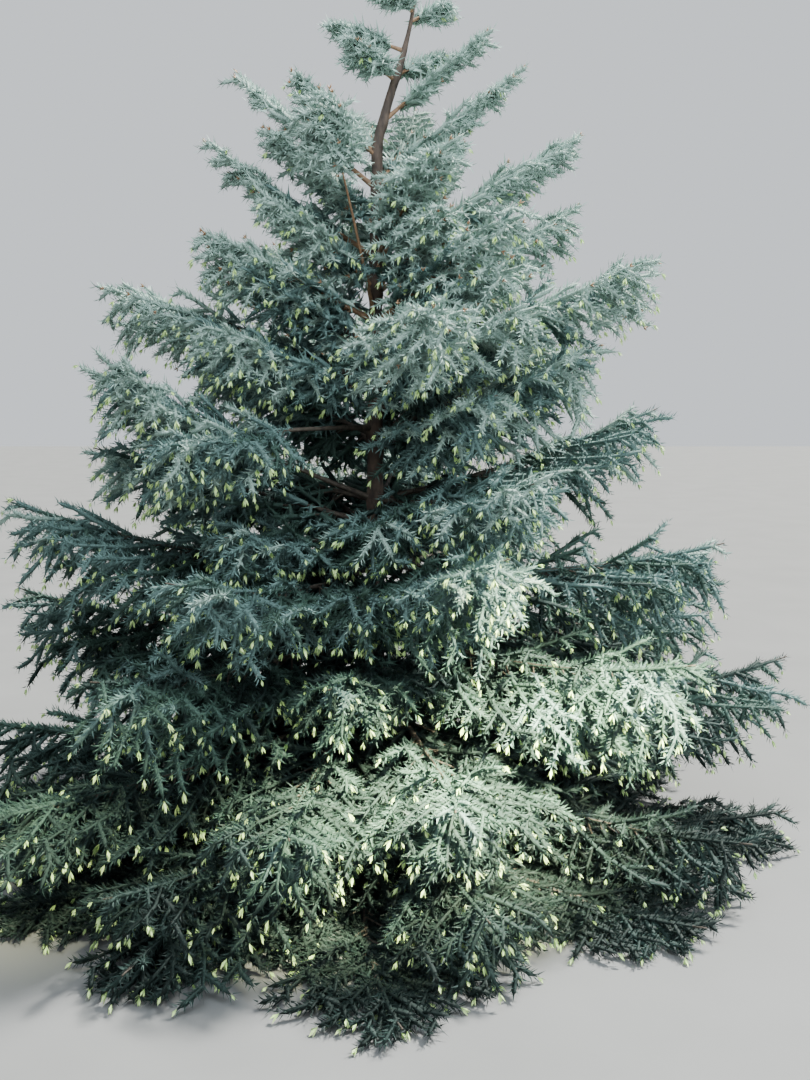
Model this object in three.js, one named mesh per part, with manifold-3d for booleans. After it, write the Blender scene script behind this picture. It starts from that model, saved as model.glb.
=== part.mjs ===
// A young engelmann spruce: a whole trunk, its main boughs, and one spray of foliage for every bough.
// Millimetres, +Z up. The origin is the middle of the trunk's flat cut at the ground.
import * as THREE from 'three';
import { mergeVertices } from 'three/addons/utils/BufferGeometryUtils.js';
import Module from 'manifold-3d';

const wasm = await Module();
wasm.setup();

// The trunk from the ground to the tip of the side shoot that took over as leader
const TRUNK_LINE = [
  { height: 0, lean: 0, radius: 56 },
  { height: 60, lean: 0, radius: 46 },
  { height: 160, lean: 0, radius: 39 },
  { height: 600, lean: 0, radius: 34 },
  { height: 1470, lean: 0, radius: 27.5 },
  { height: 2100, lean: 6, radius: 22 },
  { height: 2500, lean: 14, radius: 18 },
  { height: 2640, lean: 55, radius: 15 },
  { height: 2760, lean: 98, radius: 11 },
  { height: 2880, lean: 128, radius: 6.5 },
  { height: 3000, lean: 152, radius: 4.5 },
  { height: 3130, lean: 170, radius: 2.5 },
];
const TRUNK_SIDES = 10;
const FLARE_LOBES = 5;
const FLARE_DEPTH = 0.14;
const FLARE_HEIGHT = 110;

// Each tier of boughs: where it leaves the trunk, and how far a bough dips below its chord.
// Every bough: azimuth in degrees, reach, height of its tip, and the bare share that is a limb of its own.
const TIERS = [
  { height: 120, dip: 0.05, boughs: [
    [346, 1520, 110], [305, 1440, 70], [267, 1540, 60], [226, 1480, 70],
    [180, 1440, 80], [122, 1400, 80], [58, 1420, 80]] },
  { height: 330, dip: 0.07, boughs: [
    [326, 1450, 240], [285, 1410, 250], [245, 1440, 260],
    [196, 1470, 310], [104, 1400, 260], [22, 1430, 340]] },
  { height: 545, dip: 0.07, boughs: [
    [357, 1570, 610], [289, 1300, 510], [253, 1310, 440],
    [210, 1400, 540], [150, 1340, 540], [68, 1320, 530]] },
  { height: 760, dip: 0.06, boughs: [
    [14, 1430, 810], [318, 1300, 800], [230, 1300, 800], [176, 1390, 860], [100, 1200, 790]] },
  { height: 975, dip: 0.05, boughs: [
    [350, 1260, 1080], [284, 1060, 1140, 0.28], [246, 1130, 1070],
    [193, 1290, 1240], [140, 1120, 1090], [52, 1150, 1090]] },
  { height: 1215, dip: 0.03, boughs: [
    [5, 1060, 1550], [303, 960, 1340], [203, 1010, 1720, 0.4], [150, 980, 1450], [82, 950, 1400]] },
  { height: 1480, dip: -0.02, boughs: [[226, 900, 1440, 0.42]] },
  { height: 1630, dip: -0.03, boughs: [
    [346, 1010, 2030], [288, 760, 1860], [178, 990, 1990], [105, 800, 1900], [45, 820, 1900]] },
  { height: 1860, dip: 0, boughs: [
    [12, 750, 2290], [251, 430, 2570, 0.35], [205, 620, 2160], [140, 620, 2200], [322, 640, 2210]] },
  { height: 2090, dip: 0, boughs: [[0, 740, 2530], [300, 450, 2420], [180, 600, 2480], [85, 480, 2460]] },
  { height: 2330, dip: 0, boughs: [[348, 520, 2740], [168, 550, 2780], [60, 380, 2690]] },
  { height: 2560, dip: 0, boughs: [[8, 380, 2890]] },
  { height: 2800, dip: 0, boughs: [[176, 270, 2900]] },
];

// A bough: its radius at the trunk grows with its reach, and its azimuth wanders by up to BEND degrees
const LEAST_RADIUS = 4.5;
const STOUTNESS = 0.0062;
const TAPER = 0.8;
const BEND = 9;
const ROOT_INSET = 0.3;            // share of the trunk's radius where a bough starts, before it is cut
const LIMB_SIDES = 6;
const LIMB_ROWS = 3;

// A spray hangs to both sides of its bough at this slope at the ground, and less the higher it grows
const HANG = 0.38;
const HANG_HEIGHT = 2900;

// Side twigs, placed along the bough as shares of its reach
const FIRST_TWIG = 0.1;
const LAST_TWIG = 0.88;
const LIMB_ROOM = 0.03;
const FULLEST = 0.36;
const SPRAY_WIDTH = 0.4;
const INNER_WIDTH = 0.35;
const NARROWING = 0.75;
const LEAST_TWIG = 40;
const SHORTER_TWIG = 0.86;
const LENGTH_CHANGE = 0.24;
const TWIG_SPREAD = 56;            // degrees from the bough at the trunk
const TIP_SPREAD = 46;             // and at the bough's tip
const SPREAD_CHANGE = 12;
const TWIG_CURL = 26;              // degrees that a side twig turns forward
const TWIG_LIFT = 0.1;
const TWIG_SLOPE = 0.6;            // share of the bough's slope that its side twigs follow
const SLOPE_CHANGE = 0.16;
const TWIG_STOUTNESS = 0.55;
const TWIG_TAPER = 0.5;
const FINENESS = 3;                // one in three of the rule's side twigs is built here

// Shoots, which are the teeth of the blades
const SHOOT_LENGTH = 190;
const SHOOT_SPREAD = 50;
const TURN_CHANGE = 14;
const SHOOT_SLOPE = 0.5;
const LEAST_DROP = 0.2;
const DROP_CHANGE = 0.9;
const DROP_LEVEL = 0.5;
const DROP_HANG = 1.6;
const FIRST_SHOOT = 0.27;
const LONG_SIDE_TWIG = 500;

// Side twigs of a bough by its reach, and pairs of shoots on its stem and on a long or short side twig
const TWIG_COUNTS = [[1200, 6], [700, 5], [0, 4]];
const STEM_PAIRS = 4;
const LONG_TWIG = 360;
const LONG_TWIG_PAIRS = 3;
const SHORT_TWIG_PAIRS = 2;

// Room kept between things, and the shares of a length that are tried until one fits
const GAP = 0.3;
const SPACE_MARGIN = 20;
const TRUNK_ROOM = 70;
const GROUND_ROOM = 14;
const SETTLING = 46;               // height over which low foliage flattens out above the ground
const LEAST_HEIGHT = 2;
const FLATNESS = 2;                // how much more height counts than width when space is shared out
const TWIG_LENGTHS = [1, 0.8, 0.6, 0.42];
const SHOOT_SHARES = [1, 0.84, 0.7, 0.5];
const TWIG_TESTS = [0.25, 0.5, 0.75, 1];
const SHOOT_TESTS = [0.3, 0.5, 0.75, 1];
const AXIS_SAMPLES = 24;
const LINE_SAMPLES = 12;
const STEP = 0.02;                 // step to both sides of a place for a line's direction there

// What each fixed draw is used for
const DRAWS = { bend: 1, spread: 2, length: 3, slope: 4, turn: 5, drop: 6 };

const trunkBark = new THREE.MeshStandardMaterial({ color: '#6a5648', roughness: 0.9, metalness: 0 });
const limbBark = new THREE.MeshStandardMaterial({ color: '#7d5a41', roughness: 0.85, metalness: 0 });
const needles = new THREE.MeshStandardMaterial({ color: '#56706a', roughness: 0.75, metalness: 0 });

const radians = (degrees) => degrees * Math.PI / 180;

// A fixed number from 0 to 1 for the draw numbered a, b, c
function draw(a, b, c) {
  const wave = Math.sin(a * 12.9898 + b * 78.233 + c * 37.719) * 43758.5453;
  return wave - Math.floor(wave);
}

// A height as it is once low foliage has flattened out above the ground
function settled(height) {
  const above = height - GROUND_ROOM - SETTLING;
  return above > 0 ? height : GROUND_ROOM + SETTLING * Math.exp(above / SETTLING);
}

// Lean and radius of the trunk at a height
function trunkAt(height) {
  const found = TRUNK_LINE.findIndex((node) => node.height >= height);
  const upper = found === -1 ? TRUNK_LINE.length - 1 : Math.max(found, 1);
  const [low, high] = [TRUNK_LINE[upper - 1], TRUNK_LINE[upper]];
  const share = (height - low.height) / (high.height - low.height);
  return {
    lean: low.lean + (high.lean - low.lean) * share,
    radius: low.radius + (high.radius - low.radius) * share,
  };
}

// Every bough of the table with its own number, in one list
function listBoughs() {
  const list = [];
  TIERS.forEach((tier, level) => {
    tier.boughs.forEach(([azimuth, reach, tipHeight, bareShare = 0], turn) => {
      const number = list.length + 1;
      list.push({
        name: `${level + 1}_${turn + 1}`,
        number,
        azimuth,
        reach,
        tipHeight,
        bareShare,
        root: tier.height,
        dip: tier.dip,
        bend: BEND * (2 * draw(number, 0, DRAWS.bend) - 1),
        hang: HANG * (1 - tier.height / HANG_HEIGHT),
      });
    });
  });
  return list;
}

// The line of a bough, from the trunk's middle at 0 to the bough's tip at 1
function boughPoint(bough, t) {
  const azimuth = radians(bough.azimuth + bough.bend * t * t);
  const out = bough.reach * t;
  const climb = (bough.tipHeight - bough.root) * t;
  const sag = 4 * bough.dip * bough.reach * t * (1 - t);
  return new THREE.Vector3(
    trunkAt(bough.root).lean + out * Math.cos(azimuth),
    out * Math.sin(azimuth),
    settled(bough.root + climb - sag),
  );
}

// Heading and slope of a bough at a place along it
function boughCourse(bough, t) {
  const step = boughPoint(bough, t + STEP).sub(boughPoint(bough, t - STEP));
  return { heading: Math.atan2(step.y, step.x), slope: step.z / Math.hypot(step.x, step.y) };
}

const boughRadius = (bough, t) => (LEAST_RADIUS + STOUTNESS * bough.reach) * (1 - TAPER * t);

// Length of the side twigs along a bough: short inside, longest at the fullest place, shorter to the tip
function twigReach(bough, t) {
  const rising = Math.min(1, INNER_WIDTH + (1 - INNER_WIDTH) * t / FULLEST);
  const falling = Math.min(1, (1 - t) / (1 - FULLEST)) ** NARROWING;
  return SPRAY_WIDTH * bough.reach * rising * falling + LEAST_TWIG;
}

// The side twig at one of the rule's places along a bough, on alternate sides
function sideTwig(bough, place, places) {
  const first = Math.max(FIRST_TWIG, bough.bareShare + LIMB_ROOM);
  const t = first + (LAST_TWIG - first) * (place + 0.5) / places;
  const side = place % 2 === 1 ? 1 : -1;
  const { heading, slope } = boughCourse(bough, t);
  const spread = radians(TWIG_SPREAD + (TIP_SPREAD - TWIG_SPREAD) * t
    + SPREAD_CHANGE * (draw(bough.number, place, DRAWS.spread) - 0.5));
  return {
    number: bough.number * 100 + place,
    start: boughPoint(bough, t),
    t,
    side,
    length: twigReach(bough, t) * (SHORTER_TWIG + LENGTH_CHANGE * draw(bough.number, place, DRAWS.length)),
    heading: heading + side * spread,
    slope: TWIG_SLOPE * slope - bough.hang * Math.sin(spread)
      + SLOPE_CHANGE * (draw(bough.number, place, DRAWS.slope) - 0.5),
  };
}

// The line of a side twig: it turns forward and lifts towards its tip
function twigPoint(twig, s, length = twig.length) {
  const heading = twig.heading - twig.side * radians(TWIG_CURL) * s / 2;
  const height = twig.start.z + length * (twig.slope * s + TWIG_LIFT * s * s);
  return new THREE.Vector3(
    twig.start.x + length * s * Math.cos(heading),
    twig.start.y + length * s * Math.sin(heading),
    settled(height),
  );
}

// Shoots get shorter along a stem, and along a side twig that is short itself
const stemShootLength = (t) => SHOOT_LENGTH * (1.05 - 0.35 * t);
const twigShootLength = (twig, s) => SHOOT_LENGTH
  * (0.6 + 0.4 * twig.length / LONG_SIDE_TWIG) * (1.15 - 0.55 * s);

// The tip of a shoot of a given length that leaves its line on one side, and hangs more the lower its bough
function shootTip(shoot, side, length) {
  const turned = shoot.heading
    + side * radians(SHOOT_SPREAD + TURN_CHANGE * (draw(shoot.number, side, DRAWS.turn) - 0.5));
  const drop = (LEAST_DROP + DROP_CHANGE * draw(shoot.number, side, DRAWS.drop))
    * (DROP_LEVEL + DROP_HANG * shoot.hang);
  const level = length / Math.hypot(1, drop);
  return new THREE.Vector3(
    shoot.base.x + level * Math.cos(turned),
    shoot.base.y + level * Math.sin(turned),
    settled(shoot.base.z + level * (SHOOT_SLOPE * shoot.slope - drop)),
  );
}

const boughs = listBoughs();

// Points along every bough that share the crown's space out
const axisPoints = boughs.map((bough) => Array.from(
  { length: AXIS_SAMPLES },
  (_, i) => boughPoint(bough, (i + 1) / AXIS_SAMPLES),
));

// How far a point is from a bough's hanging spray, which falls away to both sides of the bough
function sprayDistance(point, bough) {
  return Math.min(...axisPoints[bough.number - 1].map((spot) => {
    const aside = Math.hypot(point.x - spot.x, point.y - spot.y);
    return Math.hypot(aside, FLATNESS * (point.z - spot.z + bough.hang * aside));
  }));
}

// True where a point is nearer its own bough than any other, and clear of the trunk
function inOwnSpace(point, bough) {
  if (Math.hypot(point.x - trunkAt(point.z).lean, point.y) < TRUNK_ROOM) return false;
  const own = sprayDistance(point, bough);
  return boughs.every((other) => other === bough || sprayDistance(point, other) > own + 2 * SPACE_MARGIN);
}

// True where a point is nearer its own line than any other line of the same spray
function nearOwnLine(point, own, lines) {
  const distances = lines.map((line) => Math.min(...line.map((spot) => spot.distanceTo(point))));
  return distances.every((distance, i) => i === own || distance > distances[own]);
}

// The longest share of a side twig that stays in its bough's own space, or nothing
function fittingLength(twig, bough) {
  const fits = (share) => TWIG_TESTS.every((s) => inOwnSpace(twigPoint(twig, s, twig.length * share), bough));
  return twig.length * (TWIG_LENGTHS.find(fits) ?? 0);
}

// The side twigs of a bough that fit, each at the length that fits
function fittingTwigs(bough) {
  const [, count] = TWIG_COUNTS.find(([least]) => bough.reach > least);
  return Array.from({ length: count }, (_, i) => sideTwig(bough, FINENESS * i + 1, FINENESS * count))
    .map((twig) => ({ ...twig, length: fittingLength(twig, bough) }))
    .filter((twig) => twig.length > 0);
}

// The tip of the longest shoot that fits, or nothing
function fittingShoot(shoot, side, bough, own, lines) {
  const tips = SHOOT_SHARES.map((share) => shootTip(shoot, side, shoot.length * share));
  return tips.find((tip) => nearOwnLine(tip, own, lines)
    && SHOOT_TESTS.every((share) => inOwnSpace(shoot.base.clone().lerp(tip, share), bough)));
}

// A closed three.js geometry as a solid that can be joined and cut
function solid(geometry) {
  geometry.deleteAttribute('normal');
  geometry.deleteAttribute('uv');
  const merged = mergeVertices(geometry);
  const vertProperties = new Float32Array(merged.attributes.position.array);
  const triVerts = new Uint32Array(merged.index.array);
  return new wasm.Manifold(new wasm.Mesh({ numProp: 3, vertProperties, triVerts }));
}

// The largest closed skin of a joined solid, which fills sealed hollows and drops loose scraps
function outerSkin(joined) {
  return joined.decompose().reduce((best, skin) => (skin.volume() > best.volume() ? skin : best));
}

// The point of a line's section at a share of the line, given across and up from its middle
function sectionPoint(lineAt, share, radius, sideways, upward) {
  const along = lineAt(share + STEP).sub(lineAt(share - STEP)).normalize();
  const across = new THREE.Vector3().crossVectors(along, new THREE.Vector3(0, 0, 1)).normalize();
  const up = new THREE.Vector3().crossVectors(across, along);
  return lineAt(share).addScaledVector(across, sideways * radius).addScaledVector(up, upward * radius);
}

// A tapering tube along a line
function tube(lineAt, radiusAt, sides, rows) {
  const shape = new THREE.CylinderGeometry(1, 1, 1, sides, rows);
  const place = shape.attributes.position;
  for (let v = 0; v < place.count; v += 1) {
    const share = place.getY(v) + 0.5;
    const spot = sectionPoint(lineAt, share, radiusAt(share), place.getX(v), place.getZ(v));
    place.setXYZ(v, spot.x, spot.y, spot.z);
  }
  return solid(shape);
}

// A three-sided rib along a line whose two lower edges step out to the tips of its shoots
function toothedRib(lineAt, radiusAt, pairs, toothAt) {
  const rows = 2 * pairs;
  const shape = new THREE.ConeGeometry(1, 1, 3, rows);
  const place = shape.attributes.position;
  for (let v = 0; v < place.count; v += 1) {
    const share = place.getY(v) + 0.5;
    const width = Math.max(Math.hypot(place.getX(v), place.getZ(v)), Number.EPSILON);
    const sideways = place.getX(v) / width;
    const upward = place.getZ(v) / width;
    const atShoot = Math.round(share * rows) % 2 === 1 && Math.abs(sideways) > 0.5;
    const tooth = atShoot ? toothAt(share, -Math.sign(sideways)) : undefined;
    const spot = tooth ?? sectionPoint(lineAt, share, radiusAt(share), sideways, upward);
    place.setXYZ(v, spot.x, spot.y, Math.max(spot.z, LEAST_HEIGHT));
  }
  return solid(shape);
}

// The trunk with its root flare, grown by a clearance where it cuts its neighbours
function trunkSolid(clearance) {
  const rows = TRUNK_LINE.length - 1;
  const shape = new THREE.CylinderGeometry(1, 1, 1, TRUNK_SIDES, rows);
  const place = shape.attributes.position;
  for (let v = 0; v < place.count; v += 1) {
    const node = TRUNK_LINE[Math.round((place.getY(v) + 0.5) * rows)];
    const angle = Math.atan2(-place.getZ(v), place.getX(v));
    const flare = 1 + FLARE_DEPTH * Math.cos(FLARE_LOBES * angle) * Math.exp(-node.height / FLARE_HEIGHT);
    const onAxis = Math.hypot(place.getX(v), place.getZ(v)) < 0.5;
    const radius = onAxis ? 0 : node.radius * flare + clearance;
    place.setXYZ(v, node.lean + radius * Math.cos(angle), radius * Math.sin(angle), node.height);
  }
  return solid(shape);
}

const rootInset = (bough) => ROOT_INSET * trunkAt(bough.root).radius / bough.reach;

// A bough's bare limb, from the trunk to where its foliage begins
function limbSolid(bough, cutter) {
  const start = rootInset(bough);
  const placeAt = (share) => start + (bough.bareShare - start) * share;
  const lineAt = (share) => boughPoint(bough, placeAt(share));
  const radiusAt = (share) => boughRadius(bough, placeAt(share));
  return tube(lineAt, radiusAt, LIMB_SIDES, LIMB_ROWS).subtract(cutter);
}

// One side twig and its shoots as a toothed blade
function sideTwigSolid(bough, twig, own, lines) {
  const lineAt = (s) => twigPoint(twig, s);
  const radiusAt = (s) => TWIG_STOUTNESS * boughRadius(bough, twig.t) * (1 - TWIG_TAPER * s) + 1;
  const toothAt = (s, side) => {
    const shoot = {
      base: lineAt(s),
      heading: twig.heading - twig.side * radians(TWIG_CURL) * s,
      slope: twig.slope,
      hang: bough.hang,
      length: twigShootLength(twig, s),
      number: twig.number * 10 + Math.round(9 * s),
    };
    return fittingShoot(shoot, side, bough, own, lines);
  };
  const pairs = twig.length < LONG_TWIG ? SHORT_TWIG_PAIRS : LONG_TWIG_PAIRS;
  return toothedRib(lineAt, radiusAt, pairs, toothAt);
}

// A bough's foliage: its leading stem and its side twigs, all toothed, fused into one solid
function foliageSolid(bough, cutter) {
  const onLimb = bough.bareShare > 0;
  const start = onLimb ? bough.bareShare + GAP / bough.reach : rootInset(bough);
  const placeAt = (share) => start + (1 - start) * share;
  const lineAt = (share) => boughPoint(bough, placeAt(share));
  const radiusAt = (share) => boughRadius(bough, placeAt(share));
  const twigs = fittingTwigs(bough);
  const sampled = (line) => Array.from({ length: LINE_SAMPLES + 1 }, (_, i) => line(i / LINE_SAMPLES));
  const lines = [sampled(lineAt), ...twigs.map((twig) => sampled((s) => twigPoint(twig, s)))];
  const toothAt = (share, side) => {
    const t = placeAt(share);
    if (t < FIRST_SHOOT) return undefined;
    const shoot = {
      base: lineAt(share),
      ...boughCourse(bough, t),
      hang: bough.hang,
      length: stemShootLength(t),
      number: bough.number * 1000 + Math.round(100 * t),
    };
    return fittingShoot(shoot, side, bough, 0, lines);
  };
  const stem = toothedRib(lineAt, radiusAt, STEM_PAIRS, toothAt);
  const spray = twigs.reduce((joined, twig, i) => joined.add(sideTwigSolid(bough, twig, i + 1, lines)), stem);
  return outerSkin(onLimb ? spray : spray.subtract(cutter));
}

function namedMesh(name, shape, material) {
  const { vertProperties, triVerts } = shape.getMesh();
  const geometry = new THREE.BufferGeometry();
  geometry.setAttribute('position', new THREE.BufferAttribute(new Float32Array(vertProperties), 3));
  geometry.setIndex(new THREE.BufferAttribute(new Uint32Array(triVerts), 1));
  const mesh = new THREE.Mesh(geometry, material);
  mesh.name = name;
  return mesh;
}

function buildTree() {
  const tree = new THREE.Group();
  const cutter = trunkSolid(GAP);
  tree.add(namedMesh('trunk', trunkSolid(0), trunkBark));
  for (const bough of boughs) {
    if (bough.bareShare > 0) tree.add(namedMesh(`bough_${bough.name}`, limbSolid(bough, cutter), limbBark));
    tree.add(namedMesh(`foliage_${bough.name}`, foliageSolid(bough, cutter), needles));
  }
  return tree;
}

export default buildTree();
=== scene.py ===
"""A young engelmann spruce in needles and fresh growth, grown on from its solids by their own rule.

Metres, +Z up, in the frame's own axes. The trunk line, the tiers of boughs and the rule for side twigs and
shoots are those of the solids, except that the upper front limb is bare over more of its length. Here the
rule is carried on to finer twigs, shoots, needles, fresh tips and buds, and wood gets its bark.
"""
import math
from types import SimpleNamespace

import bpy
import numpy as np
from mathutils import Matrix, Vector


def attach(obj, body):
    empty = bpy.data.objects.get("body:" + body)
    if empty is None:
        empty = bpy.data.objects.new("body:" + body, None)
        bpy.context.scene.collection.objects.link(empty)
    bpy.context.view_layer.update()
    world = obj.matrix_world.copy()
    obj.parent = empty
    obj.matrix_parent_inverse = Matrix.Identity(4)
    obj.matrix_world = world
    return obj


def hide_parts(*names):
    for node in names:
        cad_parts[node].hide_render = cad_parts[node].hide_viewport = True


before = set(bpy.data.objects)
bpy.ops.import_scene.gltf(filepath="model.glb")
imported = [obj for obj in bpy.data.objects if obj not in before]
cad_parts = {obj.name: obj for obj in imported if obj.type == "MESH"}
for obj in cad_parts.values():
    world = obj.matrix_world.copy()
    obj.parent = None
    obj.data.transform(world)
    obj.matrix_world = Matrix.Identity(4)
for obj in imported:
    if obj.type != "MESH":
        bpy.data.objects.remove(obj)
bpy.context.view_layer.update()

# The trunk from the ground to its tip: height, sideways lean and radius
TRUNK_LINE = np.array([
    (0, 0, 0.056), (0.060, 0, 0.046), (0.160, 0, 0.039), (0.600, 0, 0.034), (1.470, 0, 0.0275),
    (2.100, 0.006, 0.022), (2.500, 0.014, 0.018), (2.640, 0.055, 0.015), (2.760, 0.098, 0.011),
    (2.880, 0.128, 0.0065), (3.000, 0.152, 0.0045), (3.130, 0.170, 0.0025),
])
FLARE_LOBES = 5
FLARE_DEPTH = 0.14
FLARE_HEIGHT = 0.110

# Each tier: height on the trunk, dip below the chord, and its boughs.
# Every bough: azimuth in degrees, reach, height of its tip, and the bare share that is a limb of its own.
TIERS = [
    (0.120, 0.05, [(346, 1.52, 0.11), (305, 1.44, 0.07), (267, 1.54, 0.06), (226, 1.48, 0.07),
                   (180, 1.44, 0.08), (122, 1.40, 0.08), (58, 1.42, 0.08)]),
    (0.330, 0.07, [(326, 1.45, 0.24), (285, 1.41, 0.25), (245, 1.44, 0.26), (196, 1.47, 0.31),
                   (104, 1.40, 0.26), (22, 1.43, 0.34)]),
    (0.545, 0.07, [(357, 1.57, 0.61), (289, 1.30, 0.51), (253, 1.31, 0.44), (210, 1.40, 0.54),
                   (150, 1.34, 0.54), (68, 1.32, 0.53)]),
    (0.760, 0.06, [(14, 1.43, 0.81), (318, 1.30, 0.80), (230, 1.30, 0.80), (176, 1.39, 0.86),
                   (100, 1.20, 0.79)]),
    (0.975, 0.05, [(350, 1.26, 1.08), (284, 1.06, 1.14, 0.28), (246, 1.13, 1.07), (193, 1.29, 1.24),
                   (140, 1.12, 1.09), (52, 1.15, 1.09)]),
    (1.215, 0.03, [(5, 1.06, 1.55), (303, 0.96, 1.34), (203, 1.01, 1.72, 0.4), (150, 0.98, 1.45),
                   (82, 0.95, 1.40)]),
    (1.480, -0.02, [(226, 0.90, 1.44, 0.42)]),
    (1.630, -0.03, [(346, 1.01, 2.03), (288, 0.76, 1.86), (178, 0.99, 1.99), (105, 0.80, 1.90),
                    (45, 0.82, 1.90)]),
    (1.860, 0, [(12, 0.75, 2.29), (251, 0.43, 2.57, 0.64), (205, 0.62, 2.16), (140, 0.62, 2.20),
                (322, 0.64, 2.21)]),
    (2.090, 0, [(0, 0.74, 2.53), (300, 0.45, 2.42), (180, 0.60, 2.48), (85, 0.48, 2.46)]),
    (2.330, 0, [(348, 0.52, 2.74), (168, 0.55, 2.78), (60, 0.38, 2.69)]),
    (2.560, 0, [(8, 0.38, 2.89)]),
    (2.800, 0, [(176, 0.27, 2.90)]),
]

# Small boughs between the tiers, inside their reach, and last two long low ones at the front left:
# height, azimuth, reach, height of the tip
SMALL_BOUGHS = [
    (0.660, 268, 0.85, 0.72), (0.870, 264, 0.72, 0.98), (1.090, 269, 0.60, 1.20), (1.120, 190, 1.00, 1.42),
    (1.050, 226, 0.75, 1.15), (1.100, 118, 0.90, 1.30), (1.110, 78, 0.85, 1.28), (1.600, 214, 0.66, 1.84),
    (1.600, 130, 0.70, 1.86),
    (1.400, 338, 0.82, 1.76), (1.440, 18, 0.80, 1.80), (1.390, 306, 0.62, 1.60), (1.430, 62, 0.70, 1.72),
    (1.400, 112, 0.70, 1.68), (1.450, 158, 0.72, 1.74), (1.530, 320, 0.70, 1.92),
    (1.740, 325, 0.62, 2.04), (1.770, 200, 0.60, 2.10), (1.740, 75, 0.55, 2.05),
    (1.970, 306, 0.40, 2.22), (1.980, 216, 0.44, 2.28), (1.960, 35, 0.52, 2.32), (1.980, 110, 0.48, 2.30),
    (2.200, 308, 0.32, 2.42), (2.210, 325, 0.36, 2.46), (2.190, 212, 0.42, 2.50), (2.200, 40, 0.38, 2.46),
    (2.200, 130, 0.40, 2.50), (2.440, 205, 0.34, 2.68), (2.440, 120, 0.28, 2.66), (2.700, 215, 0.20, 2.80),
    (2.720, 50, 0.20, 2.83), (2.900, 20, 0.12, 2.96), (2.930, 215, 0.10, 2.98),
    (0.200, 243, 1.50, 0.10), (0.430, 230, 1.53, 0.39),
]

# Boughs, as the solids have them
LEAST_RADIUS = 0.0045
STOUTNESS = 0.0062
TAPER = 0.8
BEND = 9
HANG = 0.38
HANG_HEIGHT = 2.9
GROUND_ROOM = 0.014
SETTLING = 0.046
STEP = 0.02

# Side twigs, as the solids have them
FIRST_TWIG = 0.1
LAST_TWIG = 0.88
LIMB_ROOM = 0.03
FULLEST = 0.36
SPRAY_WIDTH = 0.4
INNER_WIDTH = 0.35
NARROWING = 0.75
LEAST_TWIG = 0.040
SHORTER_TWIG = 0.86
LENGTH_CHANGE = 0.24
TWIG_SPREAD = 56
TIP_SPREAD = 46
SPREAD_CHANGE = 12
TWIG_CURL = 26
TWIG_LIFT = 0.1
TWIG_SLOPE = 0.6
SLOPE_CHANGE = 0.16
FINENESS = 3
TWIG_COUNTS = [(1.2, 6), (0.7, 5), (0, 4)]

# Shoots, as the solids have them
SHOOT_LENGTH = 0.190
SHOOT_SPREAD = 50
TURN_CHANGE = 14
SHOOT_SLOPE = 0.5
LEAST_DROP = 0.2
DROP_CHANGE = 0.9
DROP_LEVEL = 0.5
DROP_HANG = 1.6
LONG_SIDE_TWIG = 0.5

# Fixed draws, which are the solids' own, and what each is used for: the first six are used there too
DRAW_WAVE = (12.9898, 78.233, 37.719)
DRAW_SCALE = 43758.5453
DRAWS = {"bend": 1, "spread": 2, "length": 3, "slope": 4, "turn": 5, "drop": 6,
         "size": 7, "tint": 8, "side": 9, "tip": 10}

# The second number of the draws that choose: long shoots with side shoots, tints, fresh tips and buds
BRANCH_DRAW = 5
TINT_DRAW = 3
TIP_DRAW = 2
BUD_DRAW = 4

# The first of the draws that each family of needles, each bark and the buds take for their details
NEEDLE_DRAWS = {"long": 21, "short": 81, "twigs": 41, "stems": 61, "leader": 101}
TRUNK_BARK_DRAW = 31
BOUGH_BARK_DRAW = 100
BUD_SHAPE_DRAW = 51

# How far apart the numbers of lines are, so that each line on a bough, layer, twig or shoot has its own
TWIG_NUMBERS = 400
LAYER_NUMBERS = 100
LAYER_PLACES = 50
TWIG_SHOOT_NUMBERS = 40
STEM_SHOOT_NUMBERS = 1000
SIDE_SHOOT_NUMBERS = 8
STEM_NUMBERS = 100

# The space of each bough: how far a neighbour may reach into it, the room round the trunk, and how much
# more height counts than width. Lines are tried at these shares of their length, at these places.
SPACE_OVERLAP = 0.075
TRUNK_ROOM = 0.022
FLATNESS = 2
AXIS_SAMPLES = 24
TWIG_SHARES = (1, 0.9, 0.8, 0.7, 0.6, 0.5, 0.4, 0.3)
SHOOT_SHARES = (1, 0.8, 0.62, 0.45)
FIT_PLACES = (0.5, 1)
POINTS_AT_ONCE = 2000

# Layers of side twigs: the rule's own, and finer ones that hang under them and rise over them.
# Each has its share of the rule's length and spread, its change of slope with the range of that, and
# how many of the rule's places there are for each twig of it.
LAYERS = [
    (1, 1, 0, 0, 1),
    (0.8, 0.8, -0.42, -0.4, 1),
    (0.6, 0.75, 0.3, 0.34, 3),
    (0.75, 0.55, -0.85, -0.6, 2),
]

# Shoots: long ones like the solids' teeth, short ones between them, and side shoots on some long ones
SHOOT_PITCH = 0.052
LONG_SHOOTS = (0.8, 1.0)
SHORT_SHOOTS = (0.55, 0.75)
RISE = 0.4
RISING_SPREAD = 0.6
SHOOT_HOLLOW = 1.5
SIDE_SHOOT_SHARE = 0.18
SIDE_SHOOT_PITCH = 0.06
SIDE_SHOOTS = (0.05, 0.08)
SIDE_SPREAD = 42
SIDE_DROP = 0.7
SIDE_SLOPE = 0.7
FEWEST_SHOOTS = 2

# Where shoots stand on twigs and long shoots: the first place, and the share of the line they take up.
# On stems they stand from a first place to a last one.
TWIG_SHOOTS = (0.1, 0.88)
SHOOT_SHOOTS = (0.12, 0.82)
FIRST_STEM_SHOOT = 0.16
LAST_STEM_SHOOT = 0.985

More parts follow.
